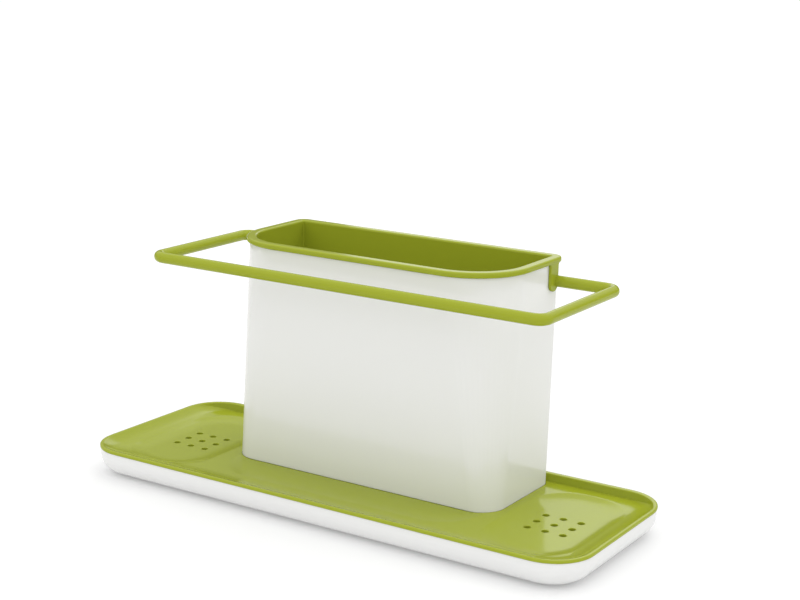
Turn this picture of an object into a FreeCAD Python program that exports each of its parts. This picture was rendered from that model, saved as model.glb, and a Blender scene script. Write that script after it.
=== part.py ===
import FreeCAD, Part
import Sketcher
import math
import os

# A sink caddy: a drip tray on four feet, a green drainer lying in it, a white container
# standing on the drainer, and a green rim frame with a cloth rail plugged into the container's top.
# Millimetres, +Z up, +X along the tray, -Y towards the user. The origin is on the table
# under the middle of the tray.

Vector = FreeCAD.Vector

# Driving dimensions, in millimetres
SIZES = {
    # Outline shared by the tray and the drainer
    "tray_length": 335.0,
    "tray_width": 125.0,
    "tray_corner": 25.0,
    # Base tray
    "foot_lift": 1.0,
    "base_inset": 0.5,
    "base_wall": 2.2,
    "base_floor": 2.0,
    "base_top": 16.5,
    "base_round": 12.0,
    "base_cove": 9.0,
    "base_brim": 0.5,
    # Feet
    "foot_radius": 6.0,
    "foot_recess": 0.8,
    "foot_gap": 0.1,
    "foot_across": 280.0,
    "foot_deep": 80.0,
    "foot_round": 0.6,
    # Drainer. Its back wall is steep so that the container can stand close to it, and its floor has
    # a dished well at each end and a shallow dished apron before the container
    "lip_thick": 1.8,
    "lip_crest": 2.0,
    "lip_crest_back": 3.8,
    "lip_round": 0.8,
    "pan_gap": 0.6,
    "pan_slope": 6.5,
    "pan_slope_back": 0.4,
    "pan_wall": 1.0,
    "pan_floor": 13.7,
    "pan_under": 11.7,
    "well_length": 58.0,
    "well_width": 101.0,
    "well_reach": 50.5,
    "well_corner": 26.0,
    "well_centre": 125.0,
    "well_slope": 12.0,
    "well_depth": 1.5,
    "well_wall": 2.0,
    "apron_length": 172.0,
    "apron_width": 61.0,
    "apron_reach": 39.5,
    "apron_corner": 26.0,
    "apron_slope": 10.0,
    "apron_depth": 0.5,
    "drain_radius": 2.0,
    "drain_pitch": 11.0,
    "seat_depth": 0.8,
    "seat_gap": 0.5,
    # Container, whose front and back lean out towards its mouth. Its front stands "reach" before
    # y = 0
    "box_low_length": 182.9,
    "box_low_width": 68.5,
    "box_low_reach": 11.7,
    "box_low_corner": 15.0,
    "box_length": 183.5,
    "box_width": 76.6,
    "box_reach": 16.1,
    "box_corner": 34.8,
    "box_back_corner": 5.0,
    "box_wall": 2.0,
    "box_floor": 2.4,
    "box_top": 146.8,
    "box_round": 1.6,
    "box_cove": 2.5,
    "weep_radius": 2.5,
    "weep_pitch": 26.0,
    # Rim frame
    "rim_thick": 3.2,
    "rim_over": 1.9,
    "rim_round": 1.2,
    "skirt_gap": 0.6,
    "skirt_wall": 1.6,
    "skirt_drop": 40.0,
    "skirt_hem": 0.5,
    "tab_gap": 0.2,
    "tab_thick": 1.5,
    "tab_back": 50.1,
    "tab_width": 9.4,
    "tab_flare": 1.5,
    "tab_end": 5.6,
    # Cloth rail, whose ends meet the tabs a little behind the tabs' middles
    "rail_radius": 3.35,
    "rail_height": 136.2,
    "rail_half": 131.0,
    "rail_front": 34.6,
    "rail_back": 53.7,
    "rail_corner": 6.2,
    "spigot_back": 52.3,
    "spigot_side": 3.0,
    "spigot_reach": 1.3,
}

DRAIN_ROWS = 3
DRAIN_COLUMNS = 3
WEEPS = 5
QUARTER_TURN = math.pi / 2
LEVEL_TOLERANCE = 0.01
ROUGH_STEP = 10.0

doc = FreeCAD.newDocument("sink_caddy")
sheet = doc.addObject("Spreadsheet::Sheet", "sizes")
for row, (alias, value) in enumerate(SIZES.items(), start=1):
    sheet.set(f"A{row}", alias)
    sheet.set(f"B{row}", str(value))
    sheet.setAlias(f"B{row}", alias)
doc.recompute()


def size(text):
    """Turn 'a - 2 * b' into an expression that reads the sheet."""
    words = text.replace("(", " ( ").replace(")", " ) ").split()
    return " ".join("sizes." + word if word in SIZES else word for word in words)


def bind(thing, prop, text):
    thing.setExpression(prop, size(text))


def new_body(label):
    body = doc.addObject("PartDesign::Body", label)
    body.Label = label
    return body


def plane(body, role):
    return next(item for item in body.Origin.OriginFeatures if item.Role == role)


def new_sketch(body, name, role="XY_Plane", offset="0"):
    sketch = body.newObject("Sketcher::SketchObject", body.Label + "_" + name)
    sketch.AttachmentSupport = [(plane(body, role), "")]
    sketch.MapMode = "FlatFace"
    bind(sketch, "AttachmentOffset.Base.z", offset)
    return sketch


def name_last(sketch, name, text):
    """Name the newest constraint and bind it to the sheet."""
    sketch.renameConstraint(sketch.ConstraintCount - 1, name)
    bind(sketch, "Constraints." + name, text)


def outline(body, name, height, length, width, reach, corner, back_corner=None):
    """Rounded rectangle, symmetric about the Y axis, whose front side is 'reach' before the origin.

    The sides start at rough places, and the named constraints then move them to size."""
    sketch = new_sketch(body, name, offset=height)
    left, right, front, back, turn = -90.0, 90.0, -40.0, 40.0, 9.0
    ends = [
        (Vector(left + turn, front), Vector(right - turn, front)),
        (Vector(right, front + turn), Vector(right, back - turn)),
        (Vector(right - turn, back), Vector(left + turn, back)),
        (Vector(left, back - turn), Vector(left, front + turn)),
    ]
    centres = [
        Vector(right - turn, front + turn),
        Vector(right - turn, back - turn),
        Vector(left + turn, back - turn),
        Vector(left + turn, front + turn),
    ]
    for side in range(4):
        start = QUARTER_TURN * (side - 1)
        circle = Part.Circle(centres[side], Vector(0, 0, 1), turn)
        sketch.addGeometry(Part.LineSegment(*ends[side]), False)
        sketch.addGeometry(Part.ArcOfCircle(circle, start, start + QUARTER_TURN), False)
    for item in range(8):
        sketch.addConstraint(Sketcher.Constraint("Tangent", item, 2, (item + 1) % 8, 1))
    for item, kind in ((4, "Horizontal"), (2, "Vertical"), (6, "Vertical")):
        sketch.addConstraint(Sketcher.Constraint(kind, item))
    sketch.addConstraint(Sketcher.Constraint("Equal", 1, 7))
    sketch.addConstraint(Sketcher.Constraint("Equal", 3, 5))
    sketch.addConstraint(Sketcher.Constraint("Symmetric", 0, 1, 0, 2, -2))
    sketch.addConstraint(Sketcher.Constraint("Radius", 1, turn))
    name_last(sketch, "corner", corner)
    sketch.addConstraint(Sketcher.Constraint("Radius", 3, turn))
    name_last(sketch, "back_corner", back_corner or corner)
    sketch.addConstraint(Sketcher.Constraint("DistanceX", 6, 2, 2, 1, right - left))
    name_last(sketch, "length", length)
    sketch.addConstraint(Sketcher.Constraint("DistanceY", 0, 1, 4, 1, back - front))
    name_last(sketch, "width", width)
    sketch.addConstraint(Sketcher.Constraint("DistanceY", 0, 1, -1, 1, -front))
    name_last(sketch, "reach", reach)
    return sketch


def tray_outline(body, name, height, inset, back_inset=None):
    """The tray's outline, moved in by 'inset', and at the back by 'back_inset' if that is given."""
    return outline(
        body, name, height,
        length=f"tray_length - 2 * ( {inset} )",
        width=f"tray_width - ( {inset} ) - ( {back_inset or inset} )",
        reach=f"tray_width / 2 - ( {inset} )",
        corner=f"tray_corner - ( {inset} )",
    )


def box_outline(body, name, height, inset, low=False, drop="0"):
    """The container's outline at its top, or at its foot, moved in on every side by 'inset'.

    With a 'drop', the front and back are moved in as far as its walls lean in over that height."""
    stem = "box_low_" if low else "box_"
    share = f"( {drop} ) / ( box_top - pan_floor + seat_depth )"
    return outline(
        body, name, height,
        length=f"{stem}length - 2 * ( {inset} )",
        width=f"{stem}width - 2 * ( {inset} ) - ( box_width - box_low_width ) * {share}",
        reach=f"{stem}reach - ( {inset} ) - ( box_reach - box_low_reach ) * {share}",
        corner=f"{stem}corner - ( {inset} )",
        back_corner=f"box_back_corner - ( {inset} )",
    )


def extrude(body, kind, name, sketch, length=None, reverse=False):
    """A Pad or a Pocket of one sketch. Without a length it is a pocket through everything."""
    feature = body.newObject("PartDesign::" + kind, body.Label + "_" + name)
    feature.Profile = sketch
    feature.Reversed = reverse
    if length is None:
        feature.Type = "ThroughAll"
    else:
        bind(feature, "Length", length)
    sketch.Visibility = False
    return feature


def loft(body, kind, name, low, high):
    feature = body.newObject("PartDesign::" + kind, body.Label + "_" + name)
    feature.Profile = low
    feature.Sections = [high]
    feature.Ruled = True
    low.Visibility = False
    high.Visibility = False
    return feature


def is_level(wire, height):
    return all(abs(point.Z - height) < LEVEL_TOLERANCE for point in wire.Vertexes)


def level_edges(shape, height):
    """Names of the edges of every face loop that lies flat at a height."""
    names = []
    flat = [wire for face in shape.Faces for wire in face.Wires if is_level(wire, height)]
    for number, edge in enumerate(shape.Edges, start=1):
        if any(edge.isSame(other) for wire in flat for other in wire.Edges):
            names.append(f"Edge{number}")
    return names


def fillet(body, name, radius, height):
    """Round every edge of the flat loops at a height."""
    doc.recompute()
    base = body.Tip
    edges = level_edges(base.Shape, height)
    if not edges:
        raise RuntimeError(f"{body.Label}: no edges to round at {height}")
    feature = body.newObject("PartDesign::Fillet", body.Label + "_" + name)
    feature.Base = (base, edges)
    bind(feature, "Radius", radius)
    return feature


def circles(body, name, height, radius, centres):
    """Circles of one radius. Each centre is a pair of expressions for the distance from each axis.

    They start a rough step apart, and the named constraints then move them to their places."""
    sketch = new_sketch(body, name, offset=height)
    for number, (sign_x, far_x, sign_y, far_y) in enumerate(centres):
        start = Vector(sign_x, sign_y) * ROUGH_STEP * (number + 1)
        sketch.addGeometry(Part.Circle(start, Vector(0, 0, 1), 1.0), False)
        sketch.addConstraint(Sketcher.Constraint("Radius", number, 1.0))
        name_last(sketch, f"radius_{number}", radius)
        for axis, kind, sign, far, at in (
            ("x", "DistanceX", sign_x, far_x, start.x),
            ("y", "DistanceY", sign_y, far_y, start.y),
        ):
            if sign == 0:
                rule = Sketcher.Constraint("PointOnObject", number, 3, -2 if axis == "x" else -1)
                sketch.addConstraint(rule)
            elif sign > 0:
                sketch.addConstraint(Sketcher.Constraint(kind, -1, 1, number, 3, at))
                name_last(sketch, f"{axis}_{number}", far)
            else:
                sketch.addConstraint(Sketcher.Constraint(kind, number, 3, -1, 1, -at))
                name_last(sketch, f"{axis}_{number}", far)
    return sketch


def mirror_across(body, name, features):
    """Repeat features on the other side of the plane x = 0."""
    feature = body.newObject("PartDesign::Mirrored", body.Label + "_" + name)
    feature.Originals = features
    feature.MirrorPlane = (plane(body, "YZ_Plane"), [""])
    body.Tip = feature
    return feature


def base_tray():
    body = new_body("base_tray")
    low = SIZES["foot_lift"]
    top = SIZES["base_top"]
    floor = low + SIZES["base_floor"]
    shell = tray_outline(body, "outline", "foot_lift", "base_inset")
    extrude(body, "Pad", "block", shell, "base_top - foot_lift")
    inside = tray_outline(body, "inside", "base_top", "base_inset + base_wall")
    extrude(body, "Pocket", "hollow", inside, "base_top - foot_lift - base_floor")
    fillet(body, "cove", "base_cove", floor)
    fillet(body, "edge", "base_round", low)
    fillet(body, "brim", "base_brim", top)
    corners = [(x, "foot_across / 2", y, "foot_deep / 2") for x in (-1, 1) for y in (-1, 1)]
    recess = circles(body, "recess", "foot_lift", "foot_radius + foot_gap", corners)
    extrude(body, "Pocket", "recesses", recess, "foot_recess", reverse=True)
    return body


def foot(label, side, front):
    body = new_body(label)
    sketch = circles(body, "disc", "0", "foot_radius", [(side, "foot_across / 2", front, "foot_deep / 2")])
    extrude(body, "Pad", "puck", sketch, "foot_lift + foot_recess")
    fillet(body, "edge", "foot_round", 0.0)
    return body


def drainer_tray():
    body = new_body("drainer_tray")
    plate = tray_outline(body, "lip", "base_top", "0")
    extrude(body, "Pad", "plate", plate, "lip_thick")
    hang = "base_inset + base_wall + pan_gap"
    pan_low = tray_outline(
        body, "pan_low", "pan_under", f"{hang} + pan_slope", back_inset=f"{hang} + pan_slope_back"
    )
    pan_high = tray_outline(body, "pan_high", "base_top", hang)
    loft(body, "AdditiveLoft", "pan", pan_low, pan_high)
    for label, sign in (("left", -1), ("right", 1)):
        dish(body, label + "_under", sign, "AdditiveLoft", "pan_under", "0 - well_wall")
    box_back = "box_low_width - box_low_reach + seat_gap"
    dip_low = tray_outline(
        body, "dip_low", "pan_floor", f"{hang} + pan_slope + pan_wall",
        back_inset=f"tray_width / 2 - ( {box_back} )",
    )
    dip_high = tray_outline(
        body, "dip_high", "base_top + lip_thick", "lip_crest", back_inset="lip_crest_back"
    )
    loft(body, "SubtractiveLoft", "dip", dip_low, dip_high)
    for label, sign in (("left", -1), ("right", 1)):
        dish(body, label + "_well", sign, "SubtractiveLoft", "pan_floor", "0")
    dish(body, "apron", 0, "SubtractiveLoft", "pan_floor", "0", stem="apron_")
    seat = box_outline(body, "seat", "pan_floor", "0 - seat_gap", low=True)
    extrude(body, "Pocket", "seat_recess", seat, "seat_depth")
    drains = circles(body, "drains", "pan_floor", "drain_radius", drain_centres())
    extrude(body, "Pocket", "drain_holes", drains)
    middle = "box_low_width / 2 - box_low_reach"
    under_box = [(side, f"{abs(side)} * 2 * weep_pitch", 1, middle) for side in (-1, 0, 1)]
    weeps = circles(body, "weeps", "pan_floor", "weep_radius", under_box)
    extrude(body, "Pocket", "weep_holes", weeps)
    fillet(body, "crest", "lip_round", SIZES["base_top"] + SIZES["lip_thick"])
    return body


def drain_centres():
    """Centres of the drain holes in the two wells, as 'circles' takes them."""
    holes = []
    for column in range(DRAIN_COLUMNS):
        for row in range(DRAIN_ROWS):
            across = f"well_centre + {column - (DRAIN_COLUMNS - 1) / 2} * drain_pitch"
            step = row - (DRAIN_ROWS - 1) / 2
            sign_y = (step > 0) - (step < 0)
            for side in (-1, 1):
                holes.append((side, across, sign_y, f"{abs(step)} * drain_pitch"))
    return holes


def dish(body, name, sign, kind, top, inset, stem="well_"):
    """One shallow dish, a loft between two rounded rectangles: a well off to one side, or the apron.

    The apron lies before the container and runs in under it."""
    pair = []
    for end, height, slope in (("low", f"{top} - {stem}depth", stem + "slope"), ("high", top, "0")):
        sketch = outline(
            body, f"{name}_{end}", height,
            length=f"{stem}length - 2 * ( {slope} ) - 2 * ( {inset} )",
            width=f"{stem}width - 2 * ( {slope} ) - 2 * ( {inset} )",
            reach=f"{stem}reach - ( {slope} ) - ( {inset} )",
            corner=f"{stem}corner - ( {slope} ) - ( {inset} )",
        )
        bind(sketch, "AttachmentOffset.Base.x", f"{sign} * well_centre")
        pair.append(sketch)
    return loft(body, kind, name, pair[0], pair[1])


def container():
    body = new_body("container")
    seat = SIZES["pan_floor"] - SIZES["seat_depth"]
    low = box_outline(body, "foot", "pan_floor - seat_depth", "0", low=True)
    high = box_outline(body, "mouth", "box_top", "0")
    loft(body, "AdditiveLoft", "block", low, high)
    low = box_outline(body, "inside_foot", "pan_floor - seat_depth + box_floor", "box_wall", low=True)
    high = box_outline(body, "inside_mouth", "box_top", "box_wall")
    loft(body, "SubtractiveLoft", "hollow", low, high)
    fillet(body, "cove", "box_cove", seat + SIZES["box_floor"])
    fillet(body, "edge", "box_round", seat)
    holes = []
    middle = "box_low_width / 2 - box_low_reach"
    for number in range(WEEPS):
        step = number - (WEEPS - 1) // 2
        sign = (step > 0) - (step < 0)
        holes.append((sign, f"{abs(step)} * weep_pitch", 1, middle))
    weeps = circles(body, "weeps", "pan_floor", "weep_radius", holes)
    drill = extrude(body, "Pocket", "weep_holes", weeps)
    drill.Midplane = True
    return body


def rim_frame():
    body = new_body("rim_frame")
    top = SIZES["box_top"] + SIZES["rim_thick"]
    flange = box_outline(body, "flange", "box_top", "0 - rim_over")
    extrude(body, "Pad", "ring", flange, "rim_thick")
    # The lining leans with the container's front and back walls
    for kind, name, inset, above in (
        ("AdditiveLoft", "lining", "box_wall + skirt_gap", "0"),
        ("SubtractiveLoft", "opening", "box_wall + skirt_gap + skirt_wall", "rim_thick"),
    ):
        low_end = box_outline(body, name + "_foot", "box_top - skirt_drop", inset, drop="skirt_drop")
        mouth = f"box_top + {above}"
        high_end = box_outline(body, name + "_mouth", mouth, inset, drop=f"0 - {above}")
        loft(body, kind, name, low_end, high_end)
    fillet(body, "bead", "rim_round", top)
    fillet(body, "hem", "skirt_hem", SIZES["box_top"] - SIZES["skirt_drop"])
    tab = tab_sketch(body)
    plate = extrude(body, "Pad", "tab", tab, "tab_thick")
    socket = square_sketch(body, "socket", "box_length / 2 + tab_gap")
    slot = extrude(body, "Pocket", "sockets", socket, "tab_thick", reverse=True)
    mirror_across(body, "left_tab", [plate, slot])
    return body


def tab_sketch(body):
    """One hanging tab seen from its end: a strap with a round foot that flares out under the rim.

    In this sketch x is the object's Y and y is the object's Z."""
    sketch = new_sketch(body, "tab_face", role="YZ_Plane", offset="box_length / 2 + tab_gap")
    middle = SIZES["tab_back"]
    half = SIZES["tab_width"] / 2
    flare = SIZES["tab_flare"]
    top = SIZES["box_top"] + SIZES["rim_thick"] / 2
    under = SIZES["box_top"]
    neck = under - flare
    foot_z = SIZES["rail_height"] - SIZES["tab_end"] + half
    z_axis = Vector(0, 0, 1)
    left, right = middle - half, middle + half
    sketch.addGeometry(Part.LineSegment(Vector(right, foot_z), Vector(right, neck)), False)
    turn = Part.Circle(Vector(right + flare, neck), z_axis, flare)
    sketch.addGeometry(Part.ArcOfCircle(turn, QUARTER_TURN, 2 * QUARTER_TURN), False)
    sketch.addGeometry(Part.LineSegment(Vector(right + flare, under), Vector(right + flare, top)), False)
    sketch.addGeometry(Part.LineSegment(Vector(right + flare, top), Vector(left - flare, top)), False)
    sketch.addGeometry(Part.LineSegment(Vector(left - flare, top), Vector(left - flare, under)), False)
    turn = Part.Circle(Vector(left - flare, neck), z_axis, flare)
    sketch.addGeometry(Part.ArcOfCircle(turn, 0, QUARTER_TURN), False)
    sketch.addGeometry(Part.LineSegment(Vector(left, neck), Vector(left, foot_z)), False)
    turn = Part.Circle(Vector(middle, foot_z), z_axis, half)
    sketch.addGeometry(Part.ArcOfCircle(turn, 2 * QUARTER_TURN, 4 * QUARTER_TURN), False)
    smooth = [(0, 2, 1, 2), (5, 1, 6, 1), (6, 2, 7, 1), (7, 2, 0, 1)]
    sharp = [(1, 1, 2, 1), (2, 2, 3, 1), (3, 2, 4, 1), (4, 2, 5, 2)]
    for rule, corners in (("Tangent", smooth), ("Coincident", sharp)):
        for corner in corners:
            sketch.addConstraint(Sketcher.Constraint(rule, *corner))
    for item in (2, 4, 6):
        sketch.addConstraint(Sketcher.Constraint("Vertical", item))
    sketch.addConstraint(Sketcher.Constraint("Horizontal", 3))
    sketch.addConstraint(Sketcher.Constraint("Equal", 1, 5))
    sketch.addConstraint(Sketcher.Constraint("Equal", 2, 4))
    sketch.addConstraint(Sketcher.Constraint("DistanceX", 1, 3, 1, 1, 0.0))
    sketch.addConstraint(Sketcher.Constraint("DistanceX", 5, 3, 5, 2, 0.0))
    sketch.addConstraint(Sketcher.Constraint("Radius", 1, flare))
    name_last(sketch, "flare", "tab_flare")
    sketch.addConstraint(Sketcher.Constraint("Radius", 7, half))
    name_last(sketch, "half", "tab_width / 2")
    sketch.addConstraint(Sketcher.Constraint("DistanceX", -1, 1, 7, 3, middle))
    name_last(sketch, "middle", "tab_back")
    sketch.addConstraint(Sketcher.Constraint("DistanceY", -1, 1, 7, 3, foot_z))
    name_last(sketch, "foot", "rail_height - tab_end + tab_width / 2")
    sketch.addConstraint(Sketcher.Constraint("DistanceY", -1, 1, 2, 1, under))
    name_last(sketch, "under", "box_top")
    sketch.addConstraint(Sketcher.Constraint("DistanceY", -1, 1, 3, 1, top))
    name_last(sketch, "top", "box_top + rim_thick / 2")
    return sketch


def square_sketch(body, name, offset):
    """The square of a rail spigot and of its socket, across the X axis."""
    sketch = new_sketch(body, name, role="YZ_Plane", offset=offset)
    side = SIZES["spigot_side"]
    low = Vector(SIZES["spigot_back"] - side / 2, SIZES["rail_height"] - side / 2)
    corners = [low, low + Vector(side, 0), low + Vector(side, side), low + Vector(0, side)]
    for item in range(4):
        sketch.addGeometry(Part.LineSegment(corners[item], corners[(item + 1) % 4]), False)
    for item in range(4):
        sketch.addConstraint(Sketcher.Constraint("Coincident", item, 2, (item + 1) % 4, 1))
        sketch.addConstraint(Sketcher.Constraint("Vertical" if item % 2 else "Horizontal", item))
    sketch.addConstraint(Sketcher.Constraint("DistanceX", 0, 1, 0, 2, side))
    name_last(sketch, "across", "spigot_side")
    sketch.addConstraint(Sketcher.Constraint("DistanceY", 1, 1, 1, 2, side))
    name_last(sketch, "tall", "spigot_side")
    sketch.addConstraint(Sketcher.Constraint("DistanceX", -1, 1, 0, 1, low.x))
    name_last(sketch, "place", "spigot_back - spigot_side / 2")
    sketch.addConstraint(Sketcher.Constraint("DistanceY", -1, 1, 0, 1, low.y))
    name_last(sketch, "lift", "rail_height - spigot_side / 2")
    return sketch


def rail_path(body):
    """Centreline of the rail: from the right tab round the front to the left tab."""
    sketch = new_sketch(body, "path", offset="rail_height")
    start = SIZES["box_length"] / 2 + SIZES["tab_gap"] + SIZES["tab_thick"]
    half, front, back = SIZES["rail_half"], -SIZES["rail_front"], SIZES["rail_back"]
    turn = SIZES["rail_corner"]
    z_axis = Vector(0, 0, 1)
    lines = [
        (Vector(start, back), Vector(half - turn, back)),
        (Vector(half, back - turn), Vector(half, front + turn)),
        (Vector(half - turn, front), Vector(turn - half, front)),
        (Vector(-half, front + turn), Vector(-half, back - turn)),
        (Vector(turn - half, back), Vector(-start, back)),
    ]
    bends = [
        (Vector(half - turn, back - turn), 0),
        (Vector(half - turn, front + turn), 3),
        (Vector(turn - half, front + turn), 2),
        (Vector(turn - half, back - turn), 1),
    ]
    for number, line in enumerate(lines):
        sketch.addGeometry(Part.LineSegment(*line), False)
        if number < len(bends):
            centre, quarter = bends[number]
            circle = Part.Circle(centre, z_axis, turn)
            bend = Part.ArcOfCircle(circle, quarter * QUARTER_TURN, (quarter + 1) * QUARTER_TURN)
            sketch.addGeometry(bend, False)
    for item in (0, 2, 4, 6):
        sketch.addConstraint(Sketcher.Constraint("Tangent", item, 2, item + 1, 2))
        sketch.addConstraint(Sketcher.Constraint("Tangent", item + 1, 1, item + 2, 1))
    for item, kind in ((0, "Horizontal"), (2, "Vertical"), (6, "Vertical")):
        sketch.addConstraint(Sketcher.Constraint(kind, item))
    for item in (3, 5, 7):
        sketch.addConstraint(Sketcher.Constraint("Equal", 1, item))
    sketch.addConstraint(Sketcher.Constraint("Symmetric", 0, 1, 8, 2, -2))
    sketch.addConstraint(Sketcher.Constraint("Symmetric", 4, 1, 4, 2, -2))
    sketch.addConstraint(Sketcher.Constraint("Radius", 1, turn))
    name_last(sketch, "corner", "rail_corner")
    sketch.addConstraint(Sketcher.Constraint("DistanceX", -1, 1, 0, 1, start))
    name_last(sketch, "start", "box_length / 2 + tab_gap + tab_thick")
    sketch.addConstraint(Sketcher.Constraint("DistanceX", -1, 1, 2, 1, half))
    name_last(sketch, "half", "rail_half")
    sketch.addConstraint(Sketcher.Constraint("DistanceY", -1, 1, 0, 1, back))
    name_last(sketch, "back", "rail_back")
    sketch.addConstraint(Sketcher.Constraint("DistanceY", 4, 1, -1, 1, -front))
    name_last(sketch, "front", "rail_front")
    return sketch


def cloth_rail():
    body = new_body("cloth_rail")
    outer_face = "box_length / 2 + tab_gap + tab_thick"
    path = rail_path(body)
    ring = new_sketch(body, "section", role="YZ_Plane", offset=outer_face)
    place = Vector(SIZES["rail_back"], SIZES["rail_height"])
    ring.addGeometry(Part.Circle(place, Vector(0, 0, 1), SIZES["rail_radius"]), False)
    ring.addConstraint(Sketcher.Constraint("Radius", 0, SIZES["rail_radius"]))
    name_last(ring, "radius", "rail_radius")
    ring.addConstraint(Sketcher.Constraint("DistanceX", -1, 1, 0, 3, place.x))
    name_last(ring, "place", "rail_back")
    ring.addConstraint(Sketcher.Constraint("DistanceY", -1, 1, 0, 3, place.y))
    name_last(ring, "lift", "rail_height")
    doc.recompute()
    pipe = body.newObject("PartDesign::AdditivePipe", "cloth_rail_bar")
    pipe.Profile = ring
    pipe.Spine = (path, [f"Edge{number + 1}" for number in range(path.GeometryCount)])
    doc.recompute()
    square = square_sketch(body, "spigot_end", outer_face)
    spigot = extrude(body, "Pad", "spigot", square, "spigot_reach", reverse=True)
    mirror_across(body, "left_spigot", [spigot])
    return body


def check(parts):
    """Refuse a failed object, and an empty or invalid shape."""
    for item in doc.Objects:
        if "Invalid" in item.State or "Error" in item.State:
            raise RuntimeError(f"{item.Label} failed: {item.State}")
    for item in parts:
        shape = item.Shape
        if shape.isNull() or not shape.isValid() or len(shape.Solids) != 1:
            raise RuntimeError(f"{item.Label} has no single valid solid")


pieces = [base_tray()]
for side_name, side_sign in (("left", -1), ("right", 1)):
    for end_name, end_sign in (("front", -1), ("back", 1)):
        pieces.append(foot(f"foot_{end_name}_{side_name}", side_sign, end_sign))
pieces += [drainer_tray(), container(), rim_frame(), cloth_rail()]
doc.recompute()
check(pieces)

os.makedirs("parts", exist_ok=True)
for piece in pieces:
    piece.Shape.exportStep(f"parts/{piece.Label}.step")
    box = piece.Shape.BoundBox
    print(f"{piece.Label}: x {box.XMin:.2f} to {box.XMax:.2f}, y {box.YMin:.2f} to {box.YMax:.2f},"
          f" z {box.ZMin:.2f} to {box.ZMax:.2f}, volume {piece.Shape.Volume:.0f}")
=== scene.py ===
# %% [markdown]
# # A sink caddy
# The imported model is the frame: it says where every piece is and how large. This file gives those pieces
# the soft edges, the smooth dishes and the glossy moulded plastic of the real caddy, and lights them
# like a studio photograph. Everything is in metres, in the frame's own axes.

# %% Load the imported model
import math

import bmesh
import bpy
import numpy as np
from mathutils import Matrix, Vector
from mathutils.geometry import delaunay_2d_cdt


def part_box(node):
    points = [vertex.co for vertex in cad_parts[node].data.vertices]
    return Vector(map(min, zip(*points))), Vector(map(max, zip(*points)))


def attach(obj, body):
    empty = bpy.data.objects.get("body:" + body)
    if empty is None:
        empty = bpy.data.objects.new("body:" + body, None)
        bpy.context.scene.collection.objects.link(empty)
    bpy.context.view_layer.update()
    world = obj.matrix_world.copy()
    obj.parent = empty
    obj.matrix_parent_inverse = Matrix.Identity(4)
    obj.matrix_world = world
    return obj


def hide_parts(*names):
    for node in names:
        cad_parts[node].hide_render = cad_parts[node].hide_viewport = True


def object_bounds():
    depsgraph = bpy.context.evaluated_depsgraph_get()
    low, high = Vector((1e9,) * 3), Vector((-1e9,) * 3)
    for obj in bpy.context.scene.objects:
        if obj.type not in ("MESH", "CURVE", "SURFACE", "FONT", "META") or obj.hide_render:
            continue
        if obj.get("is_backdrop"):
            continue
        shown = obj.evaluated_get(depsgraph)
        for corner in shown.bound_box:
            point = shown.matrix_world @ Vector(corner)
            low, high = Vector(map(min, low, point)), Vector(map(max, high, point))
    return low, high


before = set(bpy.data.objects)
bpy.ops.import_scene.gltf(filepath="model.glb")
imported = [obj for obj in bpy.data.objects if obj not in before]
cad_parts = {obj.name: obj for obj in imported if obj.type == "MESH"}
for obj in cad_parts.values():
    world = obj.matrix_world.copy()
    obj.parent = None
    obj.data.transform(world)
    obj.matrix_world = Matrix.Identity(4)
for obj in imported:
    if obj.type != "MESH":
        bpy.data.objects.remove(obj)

MM = 0.001
cad_low, cad_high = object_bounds()
print("frame:", sorted(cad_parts), "size in mm:", [round(s / MM, 1) for s in cad_high - cad_low])

# %% [markdown]
# ## The camera
# A photograph fixes its camera: the direction, the distance and the lens all show in how the long edges
# run together. One could guess them by eye, but here they were solved from the caddy's own edges, as the
# place, turn, tilt and roll that lay the model over the picture. The picture is 800 pixels wide.

# %% Place the camera
PICTURE_WIDTH = 800
FOCAL_PIXELS = 1624.5
SENSOR_WIDTH = 36.0
CAMERA_PLACE = Vector((505.3, -757.5, 338.1)) * MM
CAMERA_TURN = math.radians(32.578)
CAMERA_TILT = math.radians(13.348)
CAMERA_ROLL = math.radians(1.104)

camera_data = bpy.data.cameras.new("camera")
camera_data.sensor_width = SENSOR_WIDTH
camera_data.lens = FOCAL_PIXELS / PICTURE_WIDTH * SENSOR_WIDTH
camera = bpy.data.objects.new("camera", camera_data)
bpy.context.scene.collection.objects.link(camera)
aim = Matrix.Rotation(CAMERA_TURN, 3, "Z") @ Matrix.Rotation(math.pi / 2 - CAMERA_TILT, 3, "X")
camera.matrix_world = Matrix.LocRotScale(CAMERA_PLACE, aim @ Matrix.Rotation(CAMERA_ROLL, 3, "Z"), None)
bpy.context.scene.camera = camera
print("lens in mm:", round(camera_data.lens, 2))

# %% [markdown]
# ## Floor and light
# The caddy stands on seamless white. A white floor under soft light goes fully white except where the
# caddy hides the light from it, and a floor that also glows a little, like a frosted table lit from below,
# keeps that shadow pale. Lamps alone would light the caddy unevenly, so a sky that is bright above and in
# front does most of the work. It is dim near the horizon behind the caddy, because green plastic seen at a
# low angle mirrors that part and would turn pale. A large soft lamp up behind the caddy draws the
# highlights along the round bars, a smaller one low behind it draws the pale sheen on the drainer's
# slopes, and a weak one on the left lifts the container's left end.

# %% Make the floor
FLOOR_HALF = 8.0
FLOOR_GLOW = 0.15


def link(thing):
    """Put a new object into the scene."""
    bpy.context.scene.collection.objects.link(thing)
    return thing


def node_material(name):
    """A new material with its node tree, and that tree's Principled shader."""
    material = bpy.data.materials.new(name)
    material.use_nodes = True
    return material, material.node_tree, material.node_tree.nodes["Principled BSDF"]


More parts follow.
